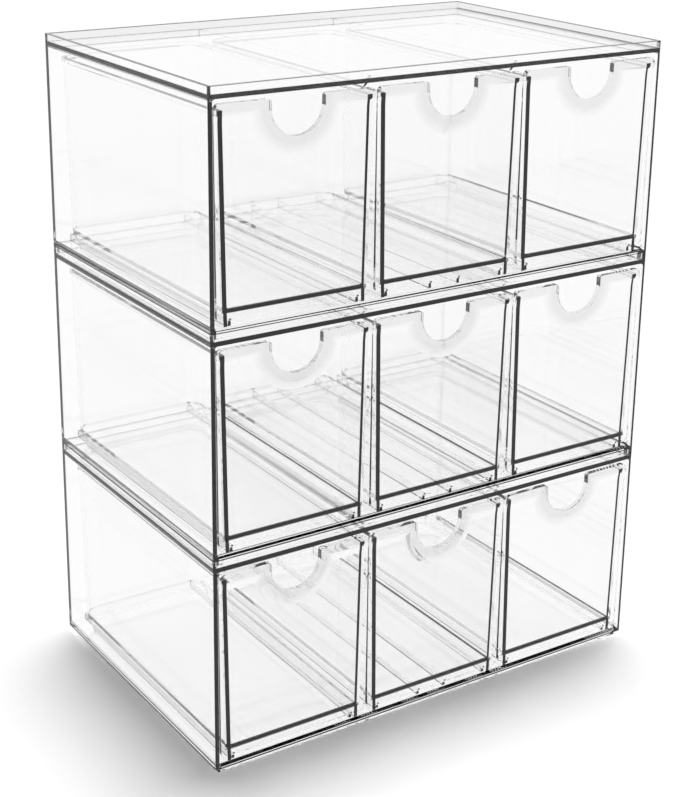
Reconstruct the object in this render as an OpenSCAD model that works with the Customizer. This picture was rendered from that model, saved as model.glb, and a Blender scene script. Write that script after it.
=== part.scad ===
// Stackable drawer box in clear moulded plastic.
// Open-fronted housings stand on one another, rim to foot, and each holds a row
// of tall drawers that run on rails moulded into its floor.
// Millimetres. X to the right, Y to the back, Z up. The origin is on the table,
// under the middle of the stack.

/* [Housing] */
// Outside width of a housing
housing_w = 300; // [240:1:400]
// Outside depth of a housing, front to back
housing_d = 196; // [140:1:260]
// Height of a housing, from its bottom edge to the top of its rim
housing_h = 128; // [90:1:180]
// Thickness of the two sides and the back
side_t = 2.2; // [1.6:0.1:4]
// Thickness of the floor
floor_t = 2; // [1.6:0.1:4]
// Thickness of the top plate
top_t = 2.2; // [1.6:0.1:4]
// Radius of the upright outside edges
corner_r = 1; // [0.8:0.1:4]
// Radius of the upright inside corners at the back
inside_r = 1.2; // [0.6:0.1:4]
// Radius of the long inside corners along the floor and the top plate
mouth_r = 1.8; // [0.6:0.1:4]
// Height of the slope along the floor's front edge
floor_edge_h = 0.9; // [0.4:0.1:1.4]
// Depth of the slope along the floor's front edge
floor_edge_run = 2.4; // [0.4:0.1:3]

/* [Stacking rim and foot] */
// Height of the rim above the top plate
rim_h = 4.4; // [4.2:0.1:12]
// Thickness of the rim
rim_t = 2; // [1.4:0.1:4]
// Radius of the rim's upright inside corners
rim_corner_r = 1; // [0.8:0.1:8]
// Depth that the foot reaches down inside the rim below
foot_h = 3.2; // [1:0.1:4]
// Thickness of the foot, all the way round
foot_t = 2.4; // [1.2:0.1:4]
// Clearance between the foot and the rim round it
nest_gap = 0.4; // [0.3:0.05:1]
// Height of the floor's underside above the housing's bottom edge
floor_lift = 0.2; // [0.2:0.1:3]

/* [Guides] */
// Width of a floor rail at its root
rail_w = 1.8; // [1.2:0.1:4]
// Height of the floor rails
rail_h = 4.2; // [1.5:0.1:4.4]
// How much narrower a rail is at its top
rail_taper = 0.5; // [0.1:0.1:0.8]
// Clearance between a rail and the drawer's runner beside it
rail_gap = 1; // [0.4:0.1:2]
// Distance between the two stiffening ribs in the middle of the floor
mid_rib_pitch = 19.4; // [10:0.2:40]
// Thickness of the guide ribs under the top plate
guide_t = 1.6; // [1.4:0.1:3.4]
// Height of the guide ribs under the top plate
guide_h = 4.4; // [3.4:0.1:5]
// How far behind the drawer fronts the guide ribs begin
guide_setback = 6; // [1:0.5:20]
// Clearance between a closed drawer front and the rail ends that stop it
stop_gap = 0.2; // [0.1:0.05:0.8]

/* [Drawer front] */
// Thickness of a drawer front
panel_t = 2.2; // [1.6:0.1:4]
// Gap between one drawer front and the next, and the housing's sides
front_gap = 1.9; // [1:0.1:4]
// Gap above a drawer front
front_top_gap = 2.8; // [1:0.1:4]
// Gap below a drawer front, above the housing floor
front_low_gap = 3.7; // [0.4:0.1:5]
// How far a drawer front stands back from the housing's front edge
panel_setback = 1; // [1:0.1:4]
// Radius of the front's four corners
panel_r = 3; // [1:0.5:8]

/* [Finger notch and raised border] */
// Width of the finger notch
notch_w = 32; // [24:0.5:50]
// Depth of the finger notch from the front's top edge
notch_depth = 20.4; // [10:0.2:30]
// Radius where the notch meets the top edge
notch_lip_r = 1.8; // [0.5:0.1:3]
// How far the border stands out from the drawer front
border_t = 1; // [0.4:0.1:1]
// Height of the border along the top edge
border_h = 4.8; // [2:0.1:8]
// Width of the border round the notch
border_w = 4.8; // [2:0.1:8]
// Width of the slope between the border and the flat front
border_slope = 4.8; // [0.5:0.1:8]

/* [Drawer tub] */
// Thickness of the tub's sides and back
tub_t = 2.2; // [1.4:0.1:3]
// Thickness of the tub's floor
tub_floor_t = 2.1; // [1.4:0.1:3]
// Draft of the tub's sides and back
draft = 1; // [0.5:0.1:1.5]
// Distance from the front's side edge to the tub's side at its top
tub_inset = 2.55; // [2:0.05:6]
// Distance from the front's top edge down to the tub's rim
tub_drop = 3.6; // [1:0.1:10]
// Outside corner radius at the tub's rim
tub_r = 12; // [5.2:0.1:20]
// How far the rolled edge stands out round the tub's rim
lip_out = 1; // [0.4:0.1:1.2]
// Height of the rolled edge's upright face
lip_h = 1.6; // [0.8:0.1:4]
// Size of the cove between the tub's floor and its sides
cove = 0.8; // [0.6:0.1:2]
// Height of the runners, from their foot to the underside of the tub's floor
runner_h = 7.3; // [4.6:0.1:9]
// Clearance between the runners and the housing floor
run_gap = 0.2; // [0.1:0.05:0.5]
// Clearance between a closed drawer and the back of the housing
back_gap = 1; // [0.5:0.1:6]
// Size of the gusset where the tub's sides meet the front
root_size = 1.4; // [0.6:0.1:2]

/* [Hidden] */
LEVELS = ["bottom", "middle", "top"];
BAYS = ["left", "middle", "right"];
function housing_name(level) = str("housing_", level);
function drawer_name(level, bay) = str("drawer_", level, "_", bay);
$fn = 64;

clear_plastic = [0.93, 0.95, 0.96, 0.35];
clear_drawer = [0.96, 0.97, 0.98, 0.3];
through = 1; // how far a cut runs past the face that it opens

// Heights in a housing, from its bottom edge
floor_top = floor_lift + floor_t;
plate_top = housing_h - rim_h;
plate_under = plate_top - top_t;
panel_top = plate_under - front_top_gap;
panel_bottom = floor_top + front_low_gap;
tub_top = panel_top - tub_drop;
runner_bottom = floor_top + run_gap;
tub_under = runner_bottom + runner_h;
tub_floor = tub_under + tub_floor_t;

// Depths in a housing, from the middle of its depth
front_y = -housing_d / 2;
inside_back = housing_d / 2 - side_t;
panel_front = front_y + panel_setback;
panel_back = panel_front + panel_t;
stop_y = panel_back + stop_gap;
guide_y = panel_back + guide_setback;
tub_back = inside_back - back_gap - lip_out;

// Widths
inside_w = housing_w - 2 * side_t;
front_w = (inside_w - (len(BAYS) + 1) * front_gap) / len(BAYS);
bay_pitch = front_w + front_gap;
tub_half = front_w / 2 - tub_inset;
function bay_x(i) = (i - (len(BAYS) - 1) / 2) * bay_pitch;

// The foot stands inside the rim of the housing below it
foot_inset = rim_t + nest_gap;
foot_corner = max(rim_corner_r - nest_gap, 0.4);

// The tub's plan is a fixed rectangle grown by a radius that the draft changes
// with height, so its corners are true cones and stay tangent to its sides.
plan_half = tub_half - tub_r;
plan_back = tub_back - tub_r;
function outer_r(z) = tub_r - (tub_top - z) * tan(draft);
function inner_r(z) = outer_r(z) - tub_t;
rail_x = plan_half + inner_r(runner_bottom) - rail_gap - rail_w / 2;

notch_r = notch_w / 2;
notch_z = panel_top - notch_depth + notch_r;

// ---- Shared shapes ----

// A rectangle with rounded corners, centred
module footprint(w, d, r) {
    square([w - 2 * r, d], center = true);
    square([w, d - 2 * r], center = true);
    for (x = [-1, 1], y = [-1, 1])
        translate([x * (w / 2 - r), y * (d / 2 - r)]) circle(r);
}

// Draws an outline of widths and heights between two depths
module between_depths(y0, y1) {
    translate([0, y1, 0]) rotate([90, 0, 0]) linear_extrude(y1 - y0) children();
}

// Draws an outline of depths and heights between two widths
module between_widths(x0, x1) {
    translate([x0, 0, 0]) rotate([90, 0, 90]) linear_extrude(x1 - x0) children();
}

// ---- Housing: one moulding ----

// Plan of the space for the drawers, open at the front and rounded at the back
module space_plan() {
    depth = inside_back - front_y + through;
    translate([-inside_w / 2, front_y - through]) square([inside_w, depth - inside_r]);
    translate([inside_r - inside_w / 2, front_y - through])
        square([inside_w - 2 * inside_r, depth]);
    for (x = [-1, 1])
        translate([x * (inside_w / 2 - inside_r), inside_back - inside_r]) circle(inside_r);
}

// The space for the drawers, with its long corners rounded
module drawer_space() {
    intersection() {
        translate([0, 0, floor_top - through])
            linear_extrude(plate_under - floor_top + 2 * through) space_plan();
        between_depths(front_y - through, inside_back + through)
            translate([0, (plate_under + floor_top) / 2])
                footprint(inside_w, plate_under - floor_top, mouth_r);
    }
}

// The slope along the floor's front edge, from one side to the other
module floor_edge_cut() {
    low = floor_top - floor_edge_h;
    between_widths(-inside_w / 2, inside_w / 2)
        polygon([[front_y - floor_edge_run, low - floor_edge_h],
                 [front_y + 2 * floor_edge_run, floor_top + floor_edge_h],
                 [front_y - floor_edge_run, floor_top + floor_edge_h]]);
}

// The foot stands below the bottom edge and is hollow up to the floor
module foot() {
    translate([0, 0, -foot_h]) linear_extrude(foot_h + floor_top / 2)
        footprint(housing_w - 2 * foot_inset, housing_d - 2 * foot_inset, foot_corner);
}

module foot_hollow() {
    inset = foot_inset + foot_t;
    translate([0, 0, -foot_h - through]) linear_extrude(foot_h + through + floor_lift)
        footprint(housing_w - 2 * inset, housing_d - 2 * inset, max(foot_corner - foot_t, 0.4));
}

// The shallow tray inside the rim, which takes the foot of the next housing
module rim_tray() {
    translate([0, 0, plate_top]) linear_extrude(rim_h + through)
        footprint(housing_w - 2 * rim_t, housing_d - 2 * rim_t, rim_corner_r);
}

// One rail along the floor, from just behind the drawer fronts to the back
module floor_rail(x) {
    top_half = (rail_w - rail_taper) / 2;
    translate([x, 0, 0]) between_depths(stop_y, inside_back + side_t / 2)
        polygon([[-rail_w / 2, floor_top - floor_t / 2], [rail_w / 2, floor_top - floor_t / 2],
                 [rail_w / 2, floor_top], [top_half, floor_top + rail_h],
                 [-top_half, floor_top + rail_h], [-rail_w / 2, floor_top]]);
}

// A guide rib under the top plate, between two drawers, sloped at its front end
module guide_rib(x) {
    back = inside_back + side_t / 2;
    between_widths(x - guide_t / 2, x + guide_t / 2)
        polygon([[guide_y, plate_under + top_t / 2], [guide_y, plate_under],
                 [guide_y + guide_h, plate_under - guide_h], [back, plate_under - guide_h],
                 [back, plate_under + top_t / 2]]);
}

module housing() {
    color(clear_plastic) {
        difference() {
            union() {
                linear_extrude(housing_h) footprint(housing_w, housing_d, corner_r);
                foot();
            }
            drawer_space();
            floor_edge_cut();
            foot_hollow();
            rim_tray();
        }
        for (i = [0 : len(BAYS) - 1], side = [-1, 1]) floor_rail(bay_x(i) + side * rail_x);
        for (side = [-1, 1]) floor_rail(side * mid_rib_pitch / 2);
        for (i = [1 : len(BAYS) - 1]) guide_rib(bay_x(i) - bay_pitch / 2);
    }
}

// ---- Drawer: one moulding, drawn with its middle at x = 0 ----

// The finger notch: a round hollow with upright sides and rounded top edges
module notch() {
    translate([0, notch_z]) circle(notch_r);
    translate([-notch_r, notch_z]) square([notch_w, panel_top - notch_z + through]);
    for (side = [0, 1]) mirror([side, 0]) difference() {
        translate([notch_r - through, panel_top - notch_lip_r])
            square([notch_lip_r + through, notch_lip_r + through]);
        translate([notch_r + notch_lip_r, panel_top - notch_lip_r]) circle(notch_lip_r);
    }
}

module front_outline() {
    difference() {
        translate([0, (panel_top + panel_bottom) / 2])
            footprint(front_w, panel_top - panel_bottom, panel_r);
        notch();
    }
}

// The raised border: a band along the top edge and a ring round the notch, both
// with a sloped outer edge, trimmed to the front's outline
module border() {
    face = panel_front - border_t;
    root = panel_front + panel_t / 2;
    intersection() {
        between_depths(face, root) front_outline();
        union() {
            between_widths(-front_w / 2, front_w / 2)
                polygon([[root, panel_top + through], [face, panel_top + through],
                         [face, panel_top - border_h],
                         [panel_front, panel_top - border_h - border_slope],
                         [root, panel_top - border_h - border_slope]]);
            translate([0, panel_front, notch_z]) rotate([90, 0, 0]) rotate_extrude()
                polygon([[notch_r - through, -panel_t / 2],
                         [notch_r + border_w + border_slope, -panel_t / 2],
                         [notch_r + border_w + border_slope, 0],
                         [notch_r + border_w, border_t],
                         [notch_r - through, border_t]]);
        }
    }
}

// A block with the tub's plan: straight to the front and rounded at the two
// back corners. The profile is a list of [radius, height] from low to high.
module tub_block(y0, profile) {
    low = profile[0].y;
    high = profile[len(profile) - 1].y;
    between_depths(y0, plan_back)
        polygon([for (p = profile) [plan_half + p.x, p.y],
                 for (i = [len(profile) - 1 : -1 : 0]) [-plan_half - profile[i].x, profile[i].y]]);
    between_widths(-plan_half, plan_half)
        polygon([[y0, low], for (p = profile) [plan_back + p.x, p.y], [y0, high]]);
    for (side = [-1, 1])
        translate([side * plan_half, plan_back, 0]) rotate_extrude()
            polygon([[0, low], for (p = profile) p, [0, high]]);
}

// Outside of the tub, with the rolled edge round its rim
module tub_outside() {
    lip_low = tub_top - lip_h;
    lip_start = lip_low - lip_out;
    tub_block(panel_back - panel_t / 2,
              [[outer_r(tub_under), tub_under], [outer_r(lip_start), lip_start],
               [outer_r(lip_low) + lip_out, lip_low], [outer_r(tub_top) + lip_out, tub_top]]);
}

// Inside of the tub, with a sloped cove round its floor. It is open at the front,
// which the drawer front closes.
module tub_inside() {
    cove_top = tub_floor + cove;
    above = tub_top + through;
    tub_block(panel_front,
              [[max(inner_r(tub_floor) - cove, 0.2), tub_floor], [inner_r(cove_top), cove_top],
               [inner_r(above), above]]);
}

// The sides run on below the floor as runners, cut back at the rear so that
// the drawer goes in easily
module runners() {
    inside_z = tub_under + tub_floor_t / 2;
    low = plan_half + outer_r(runner_bottom);
    high = plan_half + outer_r(inside_z);
    intersection() {
        for (side = [0, 1]) mirror([side, 0, 0]) between_depths(panel_back - panel_t / 2, plan_back)
            polygon([[low - tub_t, runner_bottom], [low, runner_bottom],
                     [high, inside_z], [high - tub_t, inside_z]]);
        between_widths(-front_w / 2, front_w / 2)
            polygon([[panel_front, runner_bottom], [plan_back - runner_h, runner_bottom],
                     [plan_back, inside_z], [panel_front, inside_z]]);
    }
}

// A small gusset all the way down the outside of the joint between side and front
module side_roots() {
    low = plan_half + outer_r(tub_under);
    run = (tub_top - lip_h - lip_out - tub_under) / cos(draft);
    for (side = [0, 1]) mirror([side, 0, 0])
        translate([low, panel_back, tub_under]) rotate([0, draft, 0]) linear_extrude(run)
            polygon([[-tub_t / 2, -panel_t / 2], [root_size, -panel_t / 2], [root_size, 0],
                     [0, root_size], [-tub_t / 2, root_size]]);
}

module drawer() {
    color(clear_drawer) {
        difference() {
            union() {
                tub_outside();
                side_roots();
            }
            tub_inside();
        }
        runners();
        between_depths(panel_front, panel_back) front_outline();
        border();
    }
}

// ---- The stack ----

for (i = [0 : len(LEVELS) - 1]) translate([0, 0, foot_h + i * housing_h]) {
    housing();
    for (j = [0 : len(BAYS) - 1])
        translate([bay_x(j), 0, 0]) drawer();
}
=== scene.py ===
"""A stack of three clear drawer boxes, each with three tall drawers.

Metres. X to the right, Y to the back, Z up, with the stack standing on z = 0.
"""

from math import cos, radians, sin

import bpy
from mathutils import Matrix, Vector

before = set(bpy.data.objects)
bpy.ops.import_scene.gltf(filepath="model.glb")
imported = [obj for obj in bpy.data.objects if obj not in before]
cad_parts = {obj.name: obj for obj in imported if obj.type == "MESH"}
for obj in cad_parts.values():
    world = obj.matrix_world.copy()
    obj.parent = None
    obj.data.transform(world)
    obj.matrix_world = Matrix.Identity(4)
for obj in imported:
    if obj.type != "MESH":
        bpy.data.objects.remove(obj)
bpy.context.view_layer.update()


# ---- Camera ----
# It stands in front of the stack and to its left, a little above its top, and
# looks down on it. Its angles are in radians.

CAMERA_PLACE = Vector((-0.534064, -0.798780, 0.533727))
CAMERA_TURN = 0.5831
CAMERA_DIP = 0.3093
CAMERA_ROLL = 0.0128
FOCAL_PIXELS = 1653.78
LONG_SIDE_PIXELS = 797
SENSOR_WIDTH = 36
FRAME_SHIFT = -0.1236
NEAREST_SEEN = 0.01
FARTHEST_SEEN = 100

ahead = Vector((sin(CAMERA_TURN), cos(CAMERA_TURN), 0))
right = Vector((cos(CAMERA_TURN), -sin(CAMERA_TURN), 0))
look = ahead * cos(CAMERA_DIP) - Vector((0, 0, sin(CAMERA_DIP)))
up = ahead * sin(CAMERA_DIP) + Vector((0, 0, cos(CAMERA_DIP)))
view_right = right * cos(CAMERA_ROLL) + up * sin(CAMERA_ROLL)
view_up = up * cos(CAMERA_ROLL) - right * sin(CAMERA_ROLL)

camera = bpy.data.objects.new("camera", bpy.data.cameras.new("camera"))
bpy.context.collection.objects.link(camera)
camera.matrix_world = Matrix.Translation(CAMERA_PLACE) @ Matrix(
    (view_right, view_up, -look)
).transposed().to_4x4()
camera.data.sensor_width = SENSOR_WIDTH
camera.data.lens = FOCAL_PIXELS * SENSOR_WIDTH / LONG_SIDE_PIXELS
camera.data.shift_y = FRAME_SHIFT
camera.data.clip_start = NEAREST_SEEN
camera.data.clip_end = FARTHEST_SEEN
bpy.context.scene.camera = camera


# ---- Housings ----
# Three open-fronted boxes of clear moulded polystyrene, each one moulding with
# its rim, foot, floor rails and guide ribs. They stand loose, rim to foot.

HOUSING_TINT = (0.998, 0.998, 0.998, 1)
HOUSING_INDEX = 1.5
HOUSING_HAZE = (0.5, 0.5, 0.5, 1)
HOUSING_HAZE_PER_METRE = 8
HOUSING_FLOW_SCALE = 14
HOUSING_WAVE_HEIGHT = 0.0002

# How the mould leaves the plastic of every part
FLOW_DETAIL = 2
FLOW_DISTORTION = 0.6
RUB_SCALE = 90
RUB_DETAIL = 4
RUB_RANGE = (0.5, 0.75)
POLISHED = 0.0
RUBBED = 0.015
WAVE_STRENGTH = 0.2
LIGHT_THROUGH_FACE = (0.87, 0.87, 0.87, 1)
EDGE_RADIUS = 0.0004
EDGE_SEGMENTS = 2
SMOOTH_UP_TO = radians(30)
ROUND_FROM = radians(40)


def moulded_surface_group():
    """Flow marks and a faint unevenness, as the mould leaves them on the plastic."""
    group = bpy.data.node_groups.new("moulded surface", "ShaderNodeTree")
    face = group.interface
    face.new_socket("Scale", in_out="INPUT", socket_type="NodeSocketFloat")
    face.new_socket("Clear", in_out="INPUT", socket_type="NodeSocketColor")
    face.new_socket("Marked", in_out="INPUT", socket_type="NodeSocketColor")
    face.new_socket("Smooth", in_out="INPUT", socket_type="NodeSocketFloat")
    face.new_socket("Rubbed", in_out="INPUT", socket_type="NodeSocketFloat")
    face.new_socket("Color", in_out="OUTPUT", socket_type="NodeSocketColor")
    face.new_socket("Roughness", in_out="OUTPUT", socket_type="NodeSocketFloat")
    face.new_socket("Height", in_out="OUTPUT", socket_type="NodeSocketFloat")
    nodes, links = group.nodes, group.links
    given = nodes.new("NodeGroupInput")
    result = nodes.new("NodeGroupOutput")
    place = nodes.new("ShaderNodeTexCoord")
    waves = nodes.new("ShaderNodeTexNoise")
    waves.inputs["Detail"].default_value = FLOW_DETAIL
    waves.inputs["Distortion"].default_value = FLOW_DISTORTION
    links.new(place.outputs["Object"], waves.inputs["Vector"])
    links.new(given.outputs["Scale"], waves.inputs["Scale"])
    rubs = nodes.new("ShaderNodeTexNoise")
    rubs.inputs["Scale"].default_value = RUB_SCALE
    rubs.inputs["Detail"].default_value = RUB_DETAIL
    links.new(place.outputs["Object"], rubs.inputs["Vector"])
    rubbed = nodes.new("ShaderNodeMapRange")
    rubbed.inputs["From Min"].default_value = RUB_RANGE[0]
    rubbed.inputs["From Max"].default_value = RUB_RANGE[1]
    links.new(rubs.outputs["Fac"], rubbed.inputs["Value"])
    links.new(given.outputs["Smooth"], rubbed.inputs["To Min"])
    links.new(given.outputs["Rubbed"], rubbed.inputs["To Max"])
    tint = nodes.new("ShaderNodeMix")
    tint.data_type = "RGBA"
    links.new(waves.outputs["Fac"], tint.inputs["Factor"])
    links.new(given.outputs["Clear"], tint.inputs["A"])
    links.new(given.outputs["Marked"], tint.inputs["B"])
    links.new(tint.outputs["Result"], result.inputs["Color"])
    links.new(rubbed.outputs["Result"], result.inputs["Roughness"])
    links.new(waves.outputs["Fac"], result.inputs["Height"])
    return group


moulded_surface = moulded_surface_group()


def clear_plastic(name, tint, index, haze, haze_per_metre, flow_scale, wave_height, shade):
    """Clear plastic that goes dark where the light runs a long way inside it.

    The node group shade paints shade into its colour where the moulding looks darker.
    """
    material = bpy.data.materials.new(name)
    material.use_nodes = True
    nodes, links = material.node_tree.nodes, material.node_tree.links
    shader = nodes["Principled BSDF"]
    output = nodes["Material Output"]
    shader.inputs["Transmission Weight"].default_value = 1
    shader.inputs["IOR"].default_value = index
    surface = nodes.new("ShaderNodeGroup")
    surface.node_tree = moulded_surface
    surface.inputs["Scale"].default_value = flow_scale
    surface.inputs["Clear"].default_value = (1, 1, 1, 1)
    surface.inputs["Marked"].default_value = tint
    surface.inputs["Smooth"].default_value = POLISHED
    surface.inputs["Rubbed"].default_value = RUBBED
    # The node group shade paints shade into the plastic's colour
    painted_shading = nodes.new("ShaderNodeGroup")
    painted_shading.node_tree = shade
    links.new(surface.outputs["Color"], painted_shading.inputs["Color"])
    links.new(painted_shading.outputs["Color"], shader.inputs["Base Color"])
    links.new(surface.outputs["Roughness"], shader.inputs["Roughness"])
    bump = nodes.new("ShaderNodeBump")
    bump.inputs["Strength"].default_value = WAVE_STRENGTH
    bump.inputs["Distance"].default_value = wave_height
    links.new(surface.outputs["Height"], bump.inputs["Height"])
    links.new(bump.outputs["Normal"], shader.inputs["Normal"])

    # The lamp's light passes through to the table, a little weaker at each face
    lamp_light = nodes.new("ShaderNodeBsdfTransparent")
    lamp_light.inputs["Color"].default_value = LIGHT_THROUGH_FACE
    path = nodes.new("ShaderNodeLightPath")
    mix = nodes.new("ShaderNodeMixShader")
    links.new(path.outputs["Is Shadow Ray"], mix.inputs["Fac"])
    links.new(shader.outputs["BSDF"], mix.inputs[1])
    links.new(lamp_light.outputs["BSDF"], mix.inputs[2])
    links.new(mix.outputs["Shader"], output.inputs["Surface"])

    inside = nodes.new("ShaderNodeVolumeAbsorption")
    inside.inputs["Color"].default_value = haze
    inside.inputs["Density"].default_value = haze_per_metre
    links.new(inside.outputs["Volume"], output.inputs["Volume"])
    return material


def finish_moulding(part, material):
    """Gives a moulding its plastic, smooth curves and slightly rounded edges."""
    part.data.materials.clear()
    part.data.materials.append(material)
    part.data.shade_smooth()
    part.data.set_sharp_from_angle(angle=SMOOTH_UP_TO)
    edges = part.modifiers.new("rounded edges", "BEVEL")
    edges.width = EDGE_RADIUS
    edges.segments = EDGE_SEGMENTS
    edges.limit_method = "ANGLE"
    edges.angle_limit = ROUND_FROM
    edges.harden_normals = True
    edges.use_clamp_overlap = False


# Where shade is painted on a housing, and how much of its colour is left there.
# Heights are from a housing's bottom edge, and other places from the middle of the stack.
LOWEST_EDGE = 0.0032
LEVEL_PITCH = 0.128
TOPMOST = 0.3
FRONT_FACE = -0.0977
SIDE_FACE = 0.1497
PLATE_EDGE = (0.1213, 0.1238)
PLATE_FRONT_SHADE = 0.003
PLATE_SIDE_SHADE = 0.05
BOTTOM_EDGE = (0, 0.0015)
BOTTOM_EDGE_SHADE = 0.1
RIM = (0.1237, 0.1277)
RIM_CORNER = (0.1488, 0.0968)
RIM_CORNER_SHADE = 0.003
FAR_RIM = (0.1475, 0.0955)
FAR_RIM_SHADE = 0.88
TOPMOST_RIM_TOP = 0.3869
RIM_TOP_SHADE = 0.04
RAIL_END = (-0.0948, -0.0944)
RAIL_END_HEIGHT = (0.0025, 0.0042)
RAIL_END_SHADE = 0.03


def painted_shade_group(name, draw_mask):
    """A group that paints shade into a colour. draw_mask works out how much is left of it.
    """
    group = bpy.data.node_groups.new(name, "ShaderNodeTree")
    for in_out in ("INPUT", "OUTPUT"):
        group.interface.new_socket("Color", in_out=in_out, socket_type="NodeSocketColor")
    nodes, links = group.nodes, group.links
    given = nodes.new("NodeGroupInput")
    result = nodes.new("NodeGroupOutput")
    place = nodes.new("ShaderNodeTexCoord")
    axes = nodes.new("ShaderNodeSeparateXYZ")
    links.new(place.outputs["Object"], axes.inputs["Vector"])

    def calculate(operation, *values):
        """Adds one math node. Each value is a number or the socket that it comes from."""
        node = nodes.new("ShaderNodeMath")
        node.operation = operation
        for i, value in enumerate(values):
            if isinstance(value, (int, float)):
                node.inputs[i].default_value = value
            else:
                links.new(value, node.inputs[i])
        return node.outputs["Value"]

    kept = draw_mask(calculate, axes.outputs["X"], axes.outputs["Y"], axes.outputs["Z"])
    darken = nodes.new("ShaderNodeVectorMath")
    darken.operation = "SCALE"
    links.new(given.outputs["Color"], darken.inputs["Vector"])
    links.new(kept, darken.inputs["Scale"])
    links.new(darken.outputs["Vector"], result.inputs["Color"])
    return group


def within(calculate, value, low, high):
    """1 where the value lies between low and high, and 0 elsewhere."""
    return calculate("COMPARE", value, (low + high) / 2, (high - low) / 2)


def height_in_housing(calculate, z):
    """Height from the bottom edge of the housing that the place is in."""
    return calculate("FLOORED_MODULO", calculate("SUBTRACT", z, LOWEST_EDGE), LEVEL_PITCH)


def housing_painted_shade_mask(calculate, x, y, z):
    """Painted shade along the plates' edges, at the rim and at the floor rails' front ends.
    """
    def over(value, least):
        return calculate("GREATER_THAN", value, least)

    def both(mask, other_mask):
        return calculate("MULTIPLY", mask, other_mask)

    height = height_in_housing(calculate, z)
    topmost = over(z, TOPMOST)
    front = calculate("LESS_THAN", y, FRONT_FACE)
    side = over(calculate("ABSOLUTE", x), SIDE_FACE)
    rim = within(calculate, height, *RIM)
    corner = both(over(calculate("ABSOLUTE", x), RIM_CORNER[0]),
                  over(calculate("ABSOLUTE", y), RIM_CORNER[1]))
    near = calculate("LESS_THAN", calculate("MINIMUM", x, y), 0)
    far = calculate("MAXIMUM", over(x, FAR_RIM[0]), over(y, FAR_RIM[1]))
    plate = within(calculate, height, *PLATE_EDGE)
    bottom = within(calculate, height, *BOTTOM_EDGE)
    rail_end = both(within(calculate, y, *RAIL_END),
                    within(calculate, height, *RAIL_END_HEIGHT))
    kept = 1
    for mask, shade in (
        (both(front, plate), PLATE_FRONT_SHADE),
        (both(side, plate), PLATE_SIDE_SHADE),
        (both(side, bottom), BOTTOM_EDGE_SHADE),
        (both(both(corner, near), rim), RIM_CORNER_SHADE),
        (both(both(far, topmost), rim), FAR_RIM_SHADE),
        (over(z, TOPMOST_RIM_TOP), RIM_TOP_SHADE),
        (rail_end, RAIL_END_SHADE),
    ):
        kept = calculate("MULTIPLY", kept, calculate("MULTIPLY_ADD", mask, shade - 1, 1))
    return kept


clear_housing = clear_plastic(
    "clear_housing", HOUSING_TINT, HOUSING_INDEX, HOUSING_HAZE, HOUSING_HAZE_PER_METRE,
    HOUSING_FLOW_SCALE, HOUSING_WAVE_HEIGHT, painted_shade_group("housing shade", housing_painted_shade_mask),
)
for level in ("bottom", "middle", "top"):
    finish_moulding(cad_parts["housing_" + level], clear_housing)


# ---- Drawers ----
# Nine tall drawers, each one moulding of the same clear plastic: a drafted tub
# behind a flat front with a finger notch. They slide on the housings' floors.

DRAWER_TINT = (0.998, 0.998, 0.998, 1)
DRAWER_INDEX = 1.5
DRAWER_HAZE = (0.5, 0.5, 0.5, 1)
DRAWER_HAZE_PER_METRE = 8
DRAWER_FLOW_SCALE = 22
DRAWER_WAVE_HEIGHT = 0.0002

# The raised border round the finger notch and along the top edge has painted soft grey
# shade. The notch's upright sides and the tub floor's edge through the front have
# painted dark shade. Heights are from the housing's bottom edge.
BAY_PITCH = 0.0979
NOTCH_RADIUS = 0.016
NOTCH_HEIGHT = 0.1142
FRONT_TOP = 0.1186
FRONT_DEPTH = -0.094
BORDER_WIDTH = 0.0042
RING_SLOPE = 0.0065
RING_SHADE = 0.86
BAND_SLOPE = 0.0025
BAND_SHADE = 0.89
FADE_ROUNDING = 0.2
FLOOR_EDGE = (0.01, 0.0123)
FLOOR_EDGE_HALF = 0.0436
FLOOR_EDGE_SHADE = 0.1
NOTCH_SIDE = (0.0157, 0.0162)
NOTCH_SIDE_HEIGHT = (0.1125, 0.1176)
NOTCH_SIDE_SHADE = 0.02


def drawer_painted_shade_mask(calculate, x, y, z):
    """Painted shade: grey on the border, fading out along its slope, and dark at two edges.
    """
    # The first of the three bays starts one and a half pitches left of the middle
    from_left = calculate("FLOORED_MODULO", calculate("ADD", x, BAY_PITCH * 1.5), BAY_PITCH)
    across = calculate("SUBTRACT", from_left, BAY_PITCH / 2)
    height = height_in_housing(calculate, z)
    below = calculate("MINIMUM", calculate("SUBTRACT", height, NOTCH_HEIGHT), 0)
    from_notch_middle = calculate("SQRT", calculate(
        "MULTIPLY_ADD", across, across, calculate("MULTIPLY", below, below)))
    floor_edge = calculate(
        "MULTIPLY", within(calculate, height, *FLOOR_EDGE),
        within(calculate, across, -FLOOR_EDGE_HALF, FLOOR_EDGE_HALF))
    notch_side = calculate(
        "MULTIPLY", within(calculate, height, *NOTCH_SIDE_HEIGHT),
        within(calculate, calculate("ABSOLUTE", across), *NOTCH_SIDE))
    painted_grey = calculate("MAXIMUM", calculate("MULTIPLY", floor_edge, 1 - FLOOR_EDGE_SHADE),
                     calculate("MULTIPLY", notch_side, 1 - NOTCH_SIDE_SHADE))
    for distance, slope, shade in (
        (calculate("SUBTRACT", from_notch_middle, NOTCH_RADIUS), RING_SLOPE, RING_SHADE),
        (calculate("SUBTRACT", FRONT_TOP, height), BAND_SLOPE, BAND_SHADE),
    ):
        faded = calculate("SMOOTH_MIN", calculate("DIVIDE", calculate(
            "SUBTRACT", distance, BORDER_WIDTH), slope), 1, FADE_ROUNDING)
        left = calculate("SUBTRACT", 1, calculate("MAXIMUM", faded, 0))
        painted_grey = calculate("MAXIMUM", painted_grey, calculate("MULTIPLY", left, 1 - shade))
    in_front = calculate("LESS_THAN", y, FRONT_DEPTH)
    return calculate("SUBTRACT", 1, calculate("MULTIPLY", painted_grey, in_front))


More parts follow.
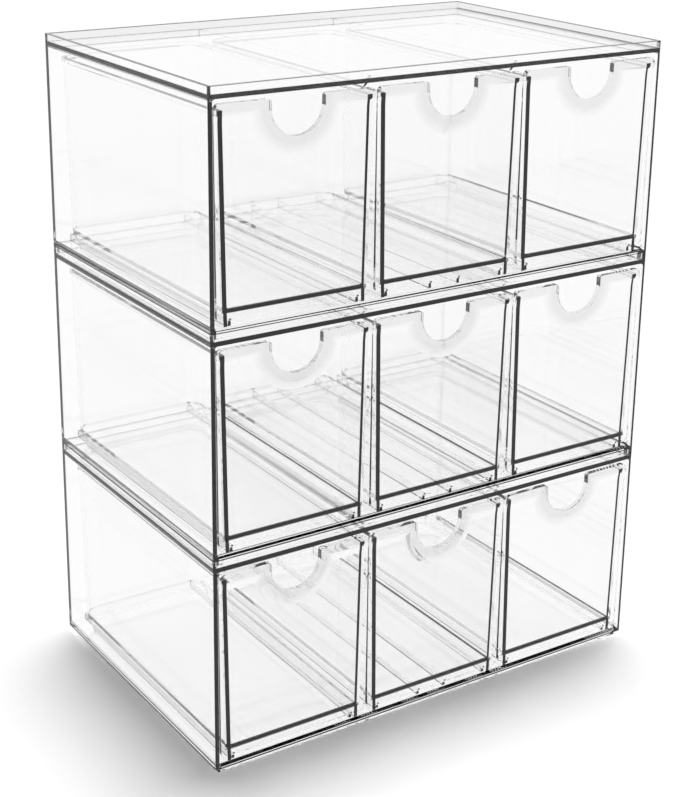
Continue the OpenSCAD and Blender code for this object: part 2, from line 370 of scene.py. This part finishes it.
clear_drawer = clear_plastic(
    "clear_drawer", DRAWER_TINT, DRAWER_INDEX, DRAWER_HAZE, DRAWER_HAZE_PER_METRE,
    DRAWER_FLOW_SCALE, DRAWER_WAVE_HEIGHT, painted_shade_group("drawer shade", drawer_painted_shade_mask),
)
for level in ("bottom", "middle", "top"):
    for bay in ("left", "middle", "right"):
        finish_moulding(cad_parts[f"drawer_{level}_{bay}"], clear_drawer)


# ---- Table ----
# A plain white table top. It takes the stack's soft shadow, and the plastic
# shows it as plain white.

TABLE_HALF = 8.0
TABLE_HEIGHT = -0.0002
TABLE_WHITE = (0.85, 0.85, 0.855, 1)
WHITE_SHARE_IN_PLASTIC = 0.88


def seen_in_plastic(nodes, links):
    """1 for what is seen through the plastic or reflected in it, and 0 otherwise."""
    path = nodes.new("ShaderNodeLightPath")
    either = nodes.new("ShaderNodeMath")
    either.operation = "MAXIMUM"
    links.new(path.outputs["Is Transmission Ray"], either.inputs[0])
    links.new(path.outputs["Is Glossy Ray"], either.inputs[1])
    return either.outputs["Value"]


table_mesh = bpy.data.meshes.new("table")
table_mesh.from_pydata(
    [(x * TABLE_HALF, y * TABLE_HALF, TABLE_HEIGHT)
     for x, y in ((-1, -1), (1, -1), (1, 1), (-1, 1))],
    [], [(0, 1, 2, 3)],
)
table = bpy.data.objects.new("table", table_mesh)
bpy.context.collection.objects.link(table)

white_table = bpy.data.materials.new("white_table")
white_table.use_nodes = True
nodes, links = white_table.node_tree.nodes, white_table.node_tree.links
shader = nodes["Principled BSDF"]
shader.inputs["Base Color"].default_value = TABLE_WHITE
shader.inputs["Roughness"].default_value = 1
shader.inputs["Specular IOR Level"].default_value = 0
glow = nodes.new("ShaderNodeEmission")
white_share = nodes.new("ShaderNodeMath")
white_share.operation = "MULTIPLY"
white_share.inputs[1].default_value = WHITE_SHARE_IN_PLASTIC
links.new(seen_in_plastic(nodes, links), white_share.inputs[0])
mix = nodes.new("ShaderNodeMixShader")
links.new(white_share.outputs["Value"], mix.inputs["Fac"])
links.new(shader.outputs["BSDF"], mix.inputs[1])
links.new(glow.outputs["Emission"], mix.inputs[2])
links.new(mix.outputs["Shader"], nodes["Material Output"].inputs["Surface"])
table_mesh.materials.append(white_table)


# ---- Light ----
# A broad soft lamp overhead and a little behind, in a white room.

LAMP_STRENGTH = 3.1
LAMP_WIDTH = radians(18)
LAMP_TILT = (radians(-6.4), radians(6), 0)
ROOM_LIGHT = 0.24
# Where the room is seen in the plastic: height of the direction, and brightness
CEILING = ((0.35, 1), (0.6, 0.93), (0.9, 0.45))

sun = bpy.data.objects.new("overhead", bpy.data.lights.new("overhead", "SUN"))
sun.data.energy = LAMP_STRENGTH
sun.data.angle = LAMP_WIDTH
sun.rotation_euler = LAMP_TILT
bpy.context.collection.objects.link(sun)

world = bpy.data.worlds.new("room")
bpy.context.scene.world = world
world.use_nodes = True
nodes, links = world.node_tree.nodes, world.node_tree.links
room = nodes["Background"]
room.inputs["Color"].default_value = (1, 1, 1, 1)
room.inputs["Strength"].default_value = ROOM_LIGHT
backdrop = nodes.new("ShaderNodeBackground")
backdrop.inputs["Color"].default_value = (1, 1, 1, 1)
backdrop.inputs["Strength"].default_value = 1
overhead = nodes.new("ShaderNodeBackground")
overhead.inputs["Strength"].default_value = 1
direction = nodes.new("ShaderNodeTexCoord")
height = nodes.new("ShaderNodeSeparateXYZ")
links.new(direction.outputs["Generated"], height.inputs["Vector"])
ceiling = nodes.new("ShaderNodeValToRGB")
stops = ceiling.color_ramp.elements
# A new ramp has two stops, so the one between them is added
stops.new(CEILING[1][0])
for stop, (position, brightness) in zip(stops, CEILING):
    stop.position = position
    stop.color = (brightness, brightness, brightness, 1)
links.new(height.outputs["Z"], ceiling.inputs["Fac"])
links.new(ceiling.outputs["Color"], overhead.inputs["Color"])
path = nodes.new("ShaderNodeLightPath")
mix = nodes.new("ShaderNodeMixShader")
links.new(seen_in_plastic(nodes, links), mix.inputs["Fac"])
links.new(room.outputs["Background"], mix.inputs[1])
links.new(overhead.outputs["Background"], mix.inputs[2])
camera_mix = nodes.new("ShaderNodeMixShader")
links.new(path.outputs["Is Camera Ray"], camera_mix.inputs["Fac"])
links.new(mix.outputs["Shader"], camera_mix.inputs[1])
links.new(backdrop.outputs["Background"], camera_mix.inputs[2])
links.new(camera_mix.outputs["Shader"], nodes["World Output"].inputs["Surface"])

scene = bpy.context.scene
scene.view_settings.view_transform = "Standard"
# Many clear walls lie one behind another
scene.cycles.max_bounces = 32
scene.cycles.transmission_bounces = 32
scene.cycles.glossy_bounces = 16
scene.cycles.transparent_max_bounces = 64
